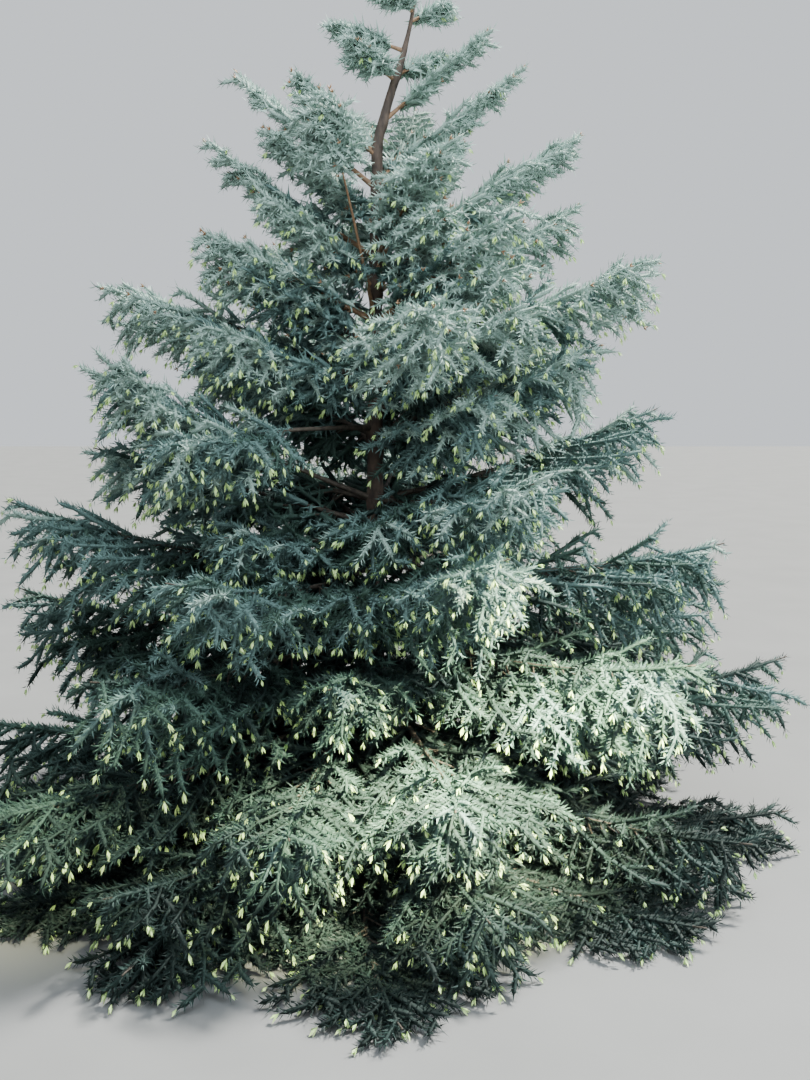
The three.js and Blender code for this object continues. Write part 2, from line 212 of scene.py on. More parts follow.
# Lengths of shoots at the foot of a twig, stem or long shoot, and how much is off them at its tip
TWIG_SHOOT_FALL = (1.15, 0.55)
STEM_SHOOT_FALL = (1.05, 0.35)
SIDE_SHOOT_FALL = (1.15, 0.45)

# Share of a shoot's length that doesn't depend on its twig, and share that goes with the twig's length
OWN_LENGTH = 0.6
TWIG_SHARE = 0.4

# How much further out in the crown a shoot at its twig's tip counts as, of what is left to the bough's tip
TWIG_OUTER = 0.8

# Shoots next to each other on a stem that have one tint
STEM_SPRAY = 8

# The crown's top is thinner and more upswept: from this height on, over this much height
THIN_HEIGHT = 1.7
THIN_RANGE = 0.7
THIN_HANG = 0.7
THIN_TWIGS = 0.5
THIN_LAYERS = 0.32
THIN_SHOOTS = 0.5

# Needles stand in opposite pairs. They are fewer and longer inside the crown and on twigs.
NEEDLE_LENGTH = 0.0215
NEEDLE_FOOT = 0.0058
NEEDLE_PITCH = 0.0054
NEEDLE_START = 0.0058
NEEDLE_LEAN = 52
NEEDLE_LIFT = 0.12
NEEDLE_TURN = 0.7
NEEDLE_TWIST = 1.6
LEAN_CHANGE = 22
TIP_LEAN = 16
LEAST_NEEDLE = 0.8
NEEDLE_CHANGE = 0.4
SPARSE_LENGTH = -0.4
FEWEST_PAIRS = 3
GOLDEN_ANGLE = math.pi * (3 - math.sqrt(5))
INNER_DENSITY = 0.15
DENSITY_START = 0.3
DENSITY_RANGE = 0.32
TWIG_DENSITY = 0.7
SHOOT_NEEDLES = 0.05
STEM_OVERLAP = 0.03
LINE_PLACES = np.linspace(0, 1, 4)
STEM_LINE_PLACES = np.linspace(0.02, 1, 61)

# Green cores under the needles, which fill the shoots out and are wider inside the crown
CORE_SIDES = 3
LONG_CORE = 0.0094
SHORT_CORE = 0.0088
SHOOT_PLACES = (0.03, 0.7, 1)
SHOOT_TAPER = (0.9, 1, 0)
TWIG_CORE = 0.0092
TWIG_GREEN = 0.38
TWIG_PLACES = (0, 0.5, 0.88, 1)
TWIG_TAPER = (0.85, 1, 0.7, 0)
STEM_CORE = 0.004
STEM_GREEN = 0.44
STEM_PLACES = np.linspace(0, 1, 14)
INNER_CORE = 0.35
INNER_OUTER = 0.5
INNER_RANGE = 0.2

# The leader is in needles from this height to its tip
LEADER_NEEDLES = 2.93
LEADER_CORE = (0.0052, 0.0050, 0.0044, 0)

# Fresh tips: pale tufts of the year's first growth at the outer shoots' ends, fewer from a height on
TIP_FINGERS = 4
TIP_LENGTH = 0.026
TIP_WIDTH = 0.0086
TIP_OPENING = 24
TIP_CLOSED = 0.35
TIP_DROOP = 0.55
TUFT_SIZES = (0.65, 0.55)
FINGER_SIZES = (0.8, 0.35)
FINGER_FOOT = 0.1
FINGER_MIDDLE = 0.55
FINGER_HOOK = 0.15
TIP_OUTER = 0.45
SHORT_TIP_SHARE = 0.22
TIP_HEIGHT = 1.8
TIP_FADE = 0.55
HIGH_TIPS = 0.93

# Buds, three together, on twig and stem ends of the upper crown and on the leader
BUD_HEIGHT = 1.6
BUD_SHARE = 0.3
BUD_CLUSTER = 3
BUD_SIDES = 3
BUD_LENGTH = 0.014
BUD_SIZES = (0.8, 0.5)
BUD_RADIUS = 0.0034
BUD_PROFILE = (0.3, 1, 0)
BUD_SPREAD = 0.008
BUD_FOOT = 0.25
BUD_MIDDLE = 0.45

# Bark of the trunk, with scaly plates and a collar at each bough's root
TRUNK_SIDES = 36
TRUNK_STEP = 0.011
TRUNK_SOFTENING = 0.025
PLATE_COLUMNS = 10
PLATE_HEIGHT = 0.030
PLATE_DEPTH = 0.0026
PLATE_SHIFT = 0.37
PLATE_EDGE = 0.22
PLATE_LEVELS = (0.45, 0.55)
PLATE_MIDDLE = 0.6
FULL_RELIEF = 0.03
COLLAR_RISE = 0.007
COLLAR_SIZE = 0.030

# Bark of boughs, from inside the trunk on, and of twigs, on older ones up to their green part
BOUGH_SIDES = 8
BOUGH_STEP = 0.034
BOUGH_FOOT = 0.018
BOUGH_COLUMNS = 5
BOUGH_PLATE = 0.032
BOUGH_RELIEF = 0.16
ROOT_SWELL = 0.45
ROOT_SWELL_LENGTH = 0.05
TWIG_BARK_SIDES = 3
TWIG_STOUTNESS = 0.45
TWIG_NARROWING = 0.6
LEAST_BARK = 0.001
BARK_PLACES = (0, 0.5, 1)
BARK_OVERLAP = 0.15
YOUNG_HEIGHT = 1.8
END_RING = 0.02

# Nothing but the trunk comes lower than this, and a shorter vector has no direction
LEAST_HEIGHT = 0.001
LEAST_LENGTH = 1e-12

# Colours of needles, from 0 to 255, and how they are dealt out: the shares of the needles up to each next
# tint, by a value that grows with how far out and how high a spray is, and by a draw. The darker tints inside
# and low are partly the older needles' own colour and partly painted shade, strongest near the ground.
NEEDLE_TINTS = {
    "deep_painted_shade": (28, 42, 39),
    "old": (44, 62, 58),
    "green": (66, 91, 82),
    "blue": (95, 122, 118),
    "silver": (148, 173, 163),
}
TINT_SHARES = (0.26, 0.44, 0.6, 0.79)
AGE_SHARE = 1.4
TWIG_AGE = 0.15
STEM_AGE = 0.7
# The value falls steeply below half a metre, so that the lowest boughs take the darkest tint as painted shade
TINT_HEIGHTS = (0, 0.5, 3.1)
HEIGHT_AND_SHADE_VALUES = (-0.9, 0.55, 3.4)

# Surfaces: the darkest and lightest shade of a tint on needles and on their cores, which are darker as
# painted shade between the needles, and the shine of needles, old bark and the rest
NEEDLE_SHADES = (0.88, 1.1)
CORE_SHADES_IN_PAINTED_SHADE = (0.72, 1.0)
NEEDLE_SHINE = 0.2
OLD_SHINE = 0.25
PLAIN_SHINE = 0.5

# Where on its noise a surface is darkest and lightest, the noises' detail, and the height of a bump
SHADE_STOPS = (0.32, 0.68)
SHADE_DETAIL = 4
BUMP_DETAIL = 6
BUMP_HEIGHT = 0.002

# Floor, light and camera
FLOOR_HALF = 30
SKY_COLOR = (0.9, 0.95, 1.0, 1)
SKY_STRENGTH = 0.95
SUN_STRENGTH = 16.0
SUN_SIZE = 8
SUN_COLOR = (1.0, 0.97, 0.9)
SUN_TURN = (38, 0, 119)
PATCH_COLOR = (1.0, 0.96, 0.64)
PATCH_WAY = Vector((0.42, -0.55, 0.72)).normalized()
PATCH_DISTANCE = 5
PATCH_SOFTNESS = 0.25
PATCH_BLEND = 0.5
FILL_COLOR = (0.86, 0.94, 1.0)
CAMERA_PLACE = (0.111, -4.0, 1.60)
CAMERA_DIP = 7.65
CAMERA_LENS = 36
CAMERA_SENSOR = 36

# Patches of stronger sun on the front boughs: energy, cone in degrees, width and middle
PATCHES = [
    (46000, 7, 2.1, (0.60, -1.13, 0.82)),
    (7500, 4, 1.6, (-0.90, -1.15, 0.42)),
]

# Soft, slightly blue fills, from above the front and from the right: energy, size, place and the way back
# from what they light
FILLS = [
    (150, 2.0, (0.1, -2.2, 4.1), (0.0, -1.8, 1.8)),
    (70, 1.6, (2.7, -2.3, 1.3), (1.6, -1.6, 0.8)),
]


def draw(a, b, c):
    """A fixed number from 0 to 1 for the draw numbered a, b, c."""
    wave = np.sin(a * DRAW_WAVE[0] + b * DRAW_WAVE[1] + c * DRAW_WAVE[2]) * DRAW_SCALE
    return wave - np.floor(wave)


def between(limits, share):
    """The value at a share of the way between two limits."""
    return limits[0] + (limits[1] - limits[0]) * share


def changed(sizes, share):
    """The least of a range of sizes and a share of the range, given as (least, range)."""
    return sizes[0] + sizes[1] * share


def fallen(fall, share):
    """A value that falls along a line, given as (value at the foot, how much it falls)."""
    return fall[0] - fall[1] * share


def settled(height):
    """A height as it is once low foliage has flattened out above the ground."""
    above = height - GROUND_ROOM - SETTLING
    return np.where(above > 0, height, GROUND_ROOM + SETTLING * np.exp(np.minimum(above, 0) / SETTLING))


def trunk_at(height):
    """Lean and radius of the trunk at a height."""
    heights, leans, radii = TRUNK_LINE.T
    return np.interp(height, heights, leans), np.interp(height, heights, radii)


def unit(vectors):
    """Vectors brought to a length of 1."""
    return vectors / np.maximum(np.linalg.norm(vectors, axis=-1, keepdims=True), LEAST_LENGTH)


def picked(group, index):
    """The rows of a group's arrays at an index."""
    return SimpleNamespace(**{name: values[index] for name, values in vars(group).items()})


def together(groups):
    """Several groups with the same arrays as one."""
    return SimpleNamespace(**{name: np.concatenate([getattr(group, name) for group in groups])
                              for name in vars(groups[0])})


def numbered(counts):
    """For lines with these counts of places, the line of every place and its number on that line."""
    return np.repeat(np.arange(len(counts)), counts), np.concatenate([np.arange(count) for count in counts])


def spaced(lengths, pitch, least):
    """A line number and place for each of the places spaced out along lines, and each line's count."""
    counts = np.maximum((lengths / pitch).astype(int), least)
    return *numbered(counts), counts


def placed(first, span, place, counts, offset=0.5):
    """Shares of a line's length for its numbered places, spread over a span of it."""
    return first + span * (place + offset) / counts


def list_boughs():
    """Every bough of the tables, as arrays, with the solids' own boughs first."""
    rows = [(azimuth, reach, tip, bare[0] if bare else 0, height, dip)
            for height, dip, tier in TIERS for azimuth, reach, tip, *bare in tier]
    rows += [(azimuth, reach, tip, 0, height, 0) for height, azimuth, reach, tip in SMALL_BOUGHS]
    azimuth, reach, tip, bare, root, dip = np.array(rows).T
    number = np.arange(1, len(rows) + 1)
    counts = [FINENESS * next(count for least, count in TWIG_COUNTS if one > least) for one in reach]
    return SimpleNamespace(
        azimuth=azimuth, reach=reach, tip=tip, bare=bare, root=root, dip=dip, number=number,
        lean=trunk_at(root)[0], counts=np.array(counts),
        bend=BEND * (2 * draw(number, 0, DRAWS["bend"]) - 1), hang=HANG * (1 - root / HANG_HEIGHT))


boughs = list_boughs()
bough_rows = np.arange(len(boughs.reach))


def bough_point(k, t):
    """The line of bough k, from the trunk's middle at 0 to the bough's tip at 1."""
    azimuth = np.radians(boughs.azimuth[k] + boughs.bend[k] * t * t)
    out = boughs.reach[k] * t
    sag = 4 * boughs.dip[k] * boughs.reach[k] * t * (1 - t)
    height = boughs.root[k] + (boughs.tip[k] - boughs.root[k]) * t - sag
    return np.stack([boughs.lean[k] + out * np.cos(azimuth), out * np.sin(azimuth), settled(height)], -1)


def bough_course(k, t):
    """Heading and slope of bough k at a share of its line."""
    step = bough_point(k, t + STEP) - bough_point(k, t - STEP)
    return np.arctan2(step[..., 1], step[..., 0]), step[..., 2] / np.hypot(step[..., 0], step[..., 1])


def bough_radius(k, t):
    """Radius of bough k at a share of its line."""
    return (LEAST_RADIUS + STOUTNESS * boughs.reach[k]) * (1 - TAPER * t)


def twig_reach(k, t):
    """How long the side twigs are at a share of bough k: longest near its middle, short at its tip."""
    rising = np.minimum(1, INNER_WIDTH + (1 - INNER_WIDTH) * t / FULLEST)
    falling = np.minimum(1, (1 - t) / (1 - FULLEST)) ** NARROWING
    return SPRAY_WIDTH * boughs.reach[k] * rising * falling + LEAST_TWIG


def twig_point(twigs, s, length):
    """Points of side twigs at shares s: they turn forward and lift towards their tips."""
    heading = twigs.heading - twigs.side * np.radians(TWIG_CURL) * s / 2
    height = twigs.start[..., 2] + length * (twigs.slope * s + TWIG_LIFT * s * s)
    return np.stack([twigs.start[..., 0] + length * s * np.cos(heading),
                     twigs.start[..., 1] + length * s * np.sin(heading), settled(height)], -1)


def thinness(k):
    """How thin and upswept bough k is for its height, from 0 to 1."""
    return np.clip((boughs.root[k] - THIN_HEIGHT) / THIN_RANGE, 0, 1)


axis_points = bough_point(bough_rows[:, None], (np.arange(AXIS_SAMPLES) + 1) / AXIS_SAMPLES)


def in_own_space(points, k):
    """True where points are nearer bough k's hanging spray than any other's, and clear of the trunk."""
    result = np.zeros(len(points), bool)
    for start in range(0, len(points), POINTS_AT_ONCE):
        part = slice(start, start + POINTS_AT_ONCE)
        apart = points[part, None, None, :] - axis_points
        aside = np.hypot(apart[..., 0], apart[..., 1])
        fall = FLATNESS * (apart[..., 2] + boughs.hang[:, None] * aside)
        distance = np.hypot(aside, fall).min(axis=2)
        rows = np.arange(len(distance))
        own = distance[rows, k[part]].copy()
        distance[rows, k[part]] = np.inf
        result[part] = distance.min(axis=1) > own - SPACE_OVERLAP
    lean, radius = trunk_at(points[:, 2])
    clear = np.hypot(points[:, 0] - lean, points[:, 1]) > radius + TRUNK_ROOM
    return result & clear


def longest_fit(shares, count, points_at, k):
    """For each of count lines, the largest share of its length that stays in its bough's own space, or 0."""
    fit = np.zeros(count)
    for share in shares:
        left = np.flatnonzero(fit == 0)
        if len(left) == 0:
            break
        fine = np.ones(len(left), bool)
        for s in FIT_PLACES:
            fine &= in_own_space(points_at(left, s, share), k[left])
        fit[left[fine]] = share
    return fit


def fitted(lines, point, shares):
    """Only the lines that stay in their bough's own space, each at the length that fits."""
    fit = longest_fit(shares, len(lines.k), lambda i, s, share: point(
        picked(lines, i), s, lines.length[i] * share), lines.k)
    lines.length = lines.length * fit
    return picked(lines, fit > 0)


def grow_twigs(layer, length_share, spread_share, slope_change, slope_range, every):
    """A layer of side twigs on every bough, each at the length that fits."""
    k, place = numbered(boughs.counts)
    number, chance = boughs.number[k], place + LAYER_PLACES * layer
    first = np.maximum(FIRST_TWIG, boughs.bare[k] + LIMB_ROOM)
    t = placed(first, LAST_TWIG - first, place, boughs.counts[k], 0.5 + layer / len(LAYERS))
    side = np.where(place % 2 == 1, 1, -1) * (1 if layer % 2 == 0 else -1)
    heading, slope = bough_course(k, t)
    spread = spread_share * np.radians(TWIG_SPREAD + (TIP_SPREAD - TWIG_SPREAD) * t
                                       + SPREAD_CHANGE * (draw(number, chance, DRAWS["spread"]) - 0.5))
    slimming = 1 - thinness(k) * (THIN_TWIGS * t + THIN_LAYERS * (layer > 0))
    variation = SHORTER_TWIG + LENGTH_CHANGE * draw(number, chance, DRAWS["length"])
    layer_slope = slope_change + slope_range * draw(number, chance, DRAWS["side"])
    twigs = SimpleNamespace(
        k=k, number=number * TWIG_NUMBERS + LAYER_NUMBERS * layer + place, start=bough_point(k, t), t=t,
        side=side, length=length_share * twig_reach(k, t) * slimming * variation,
        heading=heading + side * spread,
        slope=(TWIG_SLOPE * slope - boughs.hang[k] * np.sin(spread)
               + SLOPE_CHANGE * (draw(number, chance, DRAWS["slope"]) - 0.5)
               + layer_slope * (1 - THIN_HANG * thinness(k) * (slope_change < 0))))
    return fitted(picked(twigs, place // 2 % every == 0), twig_point, TWIG_SHARES)


def shoot_group(k, base, heading, slope, side, spread, drop, length, number, outer, spray):
    """Shoots that leave their lines to one side by an angle, and fall by a slope from there to their tips."""
    return SimpleNamespace(
        k=k, base=base, turned=heading + side * np.radians(spread), slope=SHOOT_SLOPE * slope,
        drop=drop, length=length, number=number, outer=outer, spray=spray)


def shoot_point(shoots, u, length):
    """Points of shoots at shares u of their length, hollowed so that they hang most at their tips."""
    level = length / np.hypot(1, shoots.drop)
    height = shoots.base[..., 2] + level * (shoots.slope * u - shoots.drop * u ** SHOOT_HOLLOW)
    return np.stack([shoots.base[..., 0] + level * u * np.cos(shoots.turned),
                     shoots.base[..., 1] + level * u * np.sin(shoots.turned), settled(height)], -1)


def rule_spread(number, side):
    """The angle in degrees at which a shoot leaves its line."""
    return SHOOT_SPREAD + TURN_CHANGE * (draw(number, side, DRAWS["turn"]) - 0.5)


def rule_drop(number, side, hang):
    """The slope by which a shoot falls, more on boughs that hang more."""
    return (LEAST_DROP + DROP_CHANGE * draw(number, side, DRAWS["drop"])) * (DROP_LEVEL + DROP_HANG * hang)


def thinned(shoots):
    """Shoots with less hang and length towards the crown's top."""
    thin = thinness(shoots.k)
    shoots.drop = shoots.drop * (1 - THIN_HANG * thin * (shoots.drop > 0))
    shoots.length = shoots.length * (1 - THIN_SHOOTS * thin)
    return shoots


def alternate(k, number, place, **facts):
    """Long hanging shoots on alternate sides with short ones between, every other one of which rises."""
    long = place // 2 % 2 == 0
    side = np.where(place % 2 == 0, 1, -1)
    chance = draw(number, 0, DRAWS["size"])
    size = np.where(long, between(LONG_SHOOTS, chance), between(SHORT_SHOOTS, chance))
    rising = ~long & (place % 2 == 0)
    hanging = rule_drop(number, side, boughs.hang[k])
    drop = np.where(rising, -RISE * draw(number, side, DRAWS["side"]), hanging)
    spread = np.where(rising, RISING_SPREAD, 1) * rule_spread(number, side)
    shoots = shoot_group(k=k, side=side, spread=spread, drop=drop, number=number, **facts)
    shoots.length = shoots.length * size
    shoots = thinned(shoots)
    return (fitted(picked(shoots, long), shoot_point, SHOOT_SHARES),
            fitted(picked(shoots, ~long), shoot_point, SHOOT_SHARES))


def grow_twig_shoots(twigs):
    """Shoots along every side twig."""
    i, place, counts = spaced(twigs.length, SHOOT_PITCH, FEWEST_SHOOTS)
    s = placed(*TWIG_SHOOTS, place, counts[i])
    own = picked(twigs, i)
    return alternate(
        own.k, own.number * TWIG_SHOOT_NUMBERS + place, place, base=twig_point(own, s, own.length),
        heading=own.heading - own.side * np.radians(TWIG_CURL) * s, slope=own.slope,
        length=(SHOOT_LENGTH * (OWN_LENGTH + TWIG_SHARE * own.length / LONG_SIDE_TWIG)
                * fallen(TWIG_SHOOT_FALL, s)),
        outer=own.t + (1 - own.t) * TWIG_OUTER * s, spray=own.number)


def grow_stem_shoots():
    """Shoots along every bough's leading stem."""
    first = np.maximum(FIRST_STEM_SHOOT, boughs.bare + LIMB_ROOM)
    k, place, counts = spaced(boughs.reach * (1 - first), SHOOT_PITCH, FEWEST_SHOOTS)
    t = placed(first[k], LAST_STEM_SHOOT - first[k], place, counts[k])
    heading, slope = bough_course(k, t)
    number = boughs.number[k] * STEM_SHOOT_NUMBERS + place
    return alternate(k, number, place, base=bough_point(k, t), heading=heading, slope=slope,
                     length=SHOOT_LENGTH * fallen(STEM_SHOOT_FALL, t), outer=t, spray=number // STEM_SPRAY)


def grow_side_shoots(shoots):
    """Side shoots along every long shoot."""
    i, place, counts = spaced(shoots.length, SIDE_SHOOT_PITCH, FEWEST_SHOOTS)
    u = placed(*SHOOT_SHOOTS, place, counts[i])
    own = picked(shoots, i)
    side = np.where(place % 2 == 0, 1, -1)
    number = own.number * SIDE_SHOOT_NUMBERS + place
    drop = rule_drop(number, side, boughs.hang[own.k]) * SIDE_DROP
    slope = (own.slope - SHOOT_HOLLOW * own.drop * np.sqrt(u)) / SHOOT_SLOPE * SIDE_SLOPE
    length = between(SIDE_SHOOTS, draw(number, 1, DRAWS["size"])) * fallen(SIDE_SHOOT_FALL, u)
    grown = shoot_group(own.k, shoot_point(own, u, own.length), own.turned, slope, side,
                        SIDE_SPREAD, drop, length, number, own.outer, own.spray)
    return fitted(grown, shoot_point, SHOOT_SHARES)


def sampled(point_at, count, places):
    """Lines of a family as a table of points at the given shares of their length."""
    return np.stack([point_at(np.full(count, s)) for s in places], axis=1)


def along_lines(table, i, s):
    """Points and directions at shares s of the lines numbered i."""
    spans = table.shape[1] - 1
    span = np.minimum((s * spans).astype(int), spans - 1)
    start, end = table[i, span], table[i, span + 1]
    return start + (end - start) * (s * spans - span)[:, None], unit(end - start)


def line_ends(table):
    """Ends of a family's lines and their directions there."""
    return table[:, -1], unit(table[:, -1] - table[:, -2])


def cross_axes(along, level=(0, 0, 1)):
    """Sideways and upward directions across each direction, from a direction that counts as up."""
    sideways = unit(np.cross(along, level))
    return sideways, np.cross(sideways, along)


def outwards(angle, along):
    """Directions at angles round each direction."""
    sideways, upward = cross_axes(along)
    return np.cos(angle)[:, None] * sideways + np.sin(angle)[:, None] * upward


def turned_out(angle, along, out):
    """Directions turned by angles from along towards out."""
    return np.cos(angle)[:, None] * along + np.sin(angle)[:, None] * out


def needle_pairs(table, lengths, starts, thickness, seed):
    """Two needles on opposite sides of a line at every pitch, as three corners each."""
    counts = np.maximum((lengths * (1 - starts) * thickness / NEEDLE_PITCH).astype(int), FEWEST_PAIRS)
    i, place = numbered(counts)
    s = starts[i] + (1 - starts[i]) * (place + draw(i, place, seed)) / counts[i]
    foot, along = along_lines(table, i, s)
    turn = GOLDEN_ANGLE * place + 2 * math.pi * draw(i, 0, seed)
    size = NEEDLE_LENGTH * np.minimum(thickness[i], 1) ** SPARSE_LENGTH
    needles = []
    for flip in (0, 1):
        angle = turn + math.pi * flip + NEEDLE_TURN * (draw(i, place, seed + 1 + flip) - 0.5)
        lean = np.radians(NEEDLE_LEAN + LEAN_CHANGE * (draw(i, place, seed + 3 + flip) - 0.5)
                          - TIP_LEAN * s ** 4)
        out = outwards(angle, along)
        way = turned_out(lean, along, out) + [0, 0, NEEDLE_LIFT]
        reach = size * (LEAST_NEEDLE + NEEDLE_CHANGE * draw(i, place, seed + 5 + flip))
        start = foot + NEEDLE_START * out
        twist = NEEDLE_TWIST * (draw(i, place, seed + 7 + flip) - 0.5)
        across = turned_out(twist, along, np.cross(along, out))
        edge = (0.5 * NEEDLE_FOOT / NEEDLE_LENGTH * size)[:, None] * across
        needles.append(np.stack([start - edge, start + edge, start + unit(way) * reach[:, None]], axis=1))
    return np.concatenate(needles)


def rings(along, sides, level=(0, 0, 1)):
    """Directions to the sides of a tube round each direction."""
    sideways, upward = cross_axes(along, level)
    angle = 2 * math.pi * np.arange(sides) / sides
    return (np.cos(angle)[None, :, None] * sideways[:, None, :]
            + np.sin(angle)[None, :, None] * upward[:, None, :])


def tubes(table, radii, sides):
    """Round tubes along the lines of a family, each closed to a point at its far end."""
    count, rows, _ = table.shape
    along = np.gradient(table, axis=1)[:, :-1].reshape(-1, 3)
    corners = table[:, :-1].reshape(-1, 1, 3) + rings(unit(along), sides) * radii[:, :-1].reshape(-1, 1, 1)
    verts = np.concatenate([corners.reshape(count, -1, 3), table[:, -1:]], axis=1)
    size = verts.shape[1]
    first = np.arange(count)[:, None, None] * size
    near, far = np.arange(sides), (np.arange(sides) + 1) % sides
    start = first + np.arange(rows - 2)[None, :, None] * sides
    low = np.stack([start + near, start + far, start + far + sides], -1).reshape(-1, 3)
    high = np.stack([start + near, start + far + sides, start + near + sides], -1).reshape(-1, 3)
    last = first + (rows - 2) * sides
    tip = np.stack([last + near, last + far, first + size - 1 + 0 * near], -1).reshape(-1, 3)
    return verts.reshape(-1, 3), np.concatenate([low, high, tip])


def joined(meshes):
    """Several meshes with faces of one kind as one."""
    used = np.cumsum([0] + [len(verts) for verts, _ in meshes])
    return (np.concatenate([verts for verts, _ in meshes]),
            np.concatenate([faces + start for (_, faces), start in zip(meshes, used)]))


def plates(around, along, columns, seed):
    """Scaly plates of bark, from 0 in the cracks to 1 on the highest plates."""
    row = np.floor(along)
    shifted = around * columns + PLATE_SHIFT * row + draw(row, 0, seed)
    column = np.floor(shifted)
    u, v = shifted - column, along - row
    edge = np.minimum(np.minimum(u, 1 - u), np.minimum(v, 1 - v))
    level = changed(PLATE_LEVELS, draw(np.mod(column, columns), row, seed + 1))
    return np.clip(edge / PLATE_EDGE, 0, 1) * level


def bark_tube(centers, radii, level=(0, 0, 1), closed_foot=False):
    """A tube round a line of centres, with a radius for every ring and side, closed at its tip."""
    rows, sides = radii.shape
    ring = rings(unit(np.gradient(centers, axis=0)), sides, level)
    verts = centers[:, None, :] + ring * radii[..., None]
    verts = np.concatenate([verts, centers[-1] + END_RING * (verts[-1:] - centers[-1])])
    rows += 1
    if closed_foot:
        verts = np.concatenate([centers[0] + END_RING * (verts[:1] - centers[0]), verts])
        rows += 1
    start = np.arange(rows - 1)[:, None] * sides
    near, far = np.arange(sides), (np.arange(sides) + 1) % sides
    faces = np.stack([start + near, start + far, start + far + sides, start + near + sides], -1)
    return verts.reshape(-1, 3), faces.reshape(-1, 4)


def trunk_bark_mesh():
    """The trunk from its flat cut to the leader's tip, with scaly plates and collars at the boughs' roots."""
    height = np.linspace(0, TRUNK_LINE[-1, 0], round(TRUNK_LINE[-1, 0] / TRUNK_STEP))
    soft = [trunk_at(height + shift) for shift in (-TRUNK_SOFTENING, 0, TRUNK_SOFTENING)]
    lean = np.mean([lean for lean, _ in soft], axis=0)
    radius = trunk_at(height)[1][:, None]
    angle = 2 * math.pi * np.arange(TRUNK_SIDES)[None, :] / TRUNK_SIDES
    flare = 1 + FLARE_DEPTH * np.cos(FLARE_LOBES * angle) * np.exp(-height[:, None] / FLARE_HEIGHT)
    skin = plates(angle / (2 * math.pi), height[:, None] / PLATE_HEIGHT, PLATE_COLUMNS, TRUNK_BARK_DRAW)
    relief = PLATE_DEPTH * np.minimum(radius / FULL_RELIEF, 1) * (skin - PLATE_MIDDLE)
    turn = angle[..., None] + np.radians(boughs.azimuth)
    aside = radius[..., None] * (np.mod(turn + math.pi, 2 * math.pi) - math.pi)
    apart = np.hypot(aside, height[:, None, None] - boughs.root) / COLLAR_SIZE
    collar = COLLAR_RISE * np.exp(-apart ** 2).max(axis=2) * np.minimum(radius / FULL_RELIEF, 1)
    centers = np.stack([lean, 0 * height, height], -1)
    return bark_tube(centers, radius * flare + relief + collar, level=(0, -1, 0), closed_foot=True)


def bough_bark_mesh(k):
    """Bough k from inside the trunk to its tip, with a swollen root and scaly bark."""
    reach = boughs.reach[k]
    t = np.linspace(BOUGH_FOOT, 1, round(reach / BOUGH_STEP))
    swell = 1 + ROOT_SWELL * np.exp(-t * reach / ROOT_SWELL_LENGTH)
    around = np.arange(BOUGH_SIDES)[None, :] / BOUGH_SIDES
    skin = plates(around, t[:, None] * reach / BOUGH_PLATE, BOUGH_COLUMNS, BOUGH_BARK_DRAW + k)
    radii = (bough_radius(k, t) * swell)[:, None] * (1 + BOUGH_RELIEF * (skin - PLATE_MIDDLE))
    return bark_tube(bough_point(np.full(len(t), k), t), radii)


def fresh_tips(ends, along, seed):
    """A drooping tuft of new growth at each end: pointed fingers that open out, with their faces outward."""
    rows = len(ends) * TIP_FINGERS
    i, finger = np.arange(rows) // TIP_FINGERS, np.arange(rows) % TIP_FINGERS
    axis = unit(along + np.array([0, 0, -TIP_DROOP]))[i]
    out = outwards(2 * math.pi * (finger / TIP_FINGERS + draw(i, 0, seed)), axis)
    opening = np.radians(TIP_OPENING * (TIP_CLOSED + draw(i, finger, seed + 2)))
    way = turned_out(opening, axis, out)
    across = unit(np.cross(way, out))
    size = (TIP_LENGTH * changed(TUFT_SIZES, draw(i, 1, seed))
            * changed(FINGER_SIZES, draw(i, finger, seed + 1)))[:, None]
    width = 0.5 * TIP_WIDTH * np.sqrt(size / TIP_LENGTH)
    foot = ends[i] - FINGER_FOOT * size * way
    middle = foot + FINGER_MIDDLE * size * way
    tip = foot + size * way - np.array([0, 0, FINGER_HOOK]) * size
    return np.stack([foot, middle - width * across, tip, middle + width * across], axis=1)


def buds(ends, along, seed):
    """A cluster of pointed buds at each end, as short spindles."""
    lines = []
    rows = np.arange(len(ends))
    for part in range(BUD_CLUSTER):
        out = BUD_SPREAD * outwards(2 * math.pi * (part / BUD_CLUSTER + draw(rows, 0, seed)), along)
        start = ends - BUD_FOOT * BUD_LENGTH * along
        size = BUD_LENGTH * changed(BUD_SIZES, draw(rows, part, seed + 1))[:, None]
        middle = start + 0.5 * out + BUD_MIDDLE * size * along
        lines.append(np.stack([start, middle, start + out + size * along], axis=1))
    table = np.concatenate(lines)
    radii = np.array(BUD_PROFILE) * BUD_RADIUS * np.ones((len(table), 1))
    return tubes(table, radii, BUD_SIDES)


def srgb(color):
    """A colour of 0 to 255 as the linear colour that Blender works in."""
    share = np.array(color) / 255
    return tuple(np.where(share <= 0.04045, share / 12.92, ((share + 0.055) / 1.055) ** 2.4)) + (1.0,)


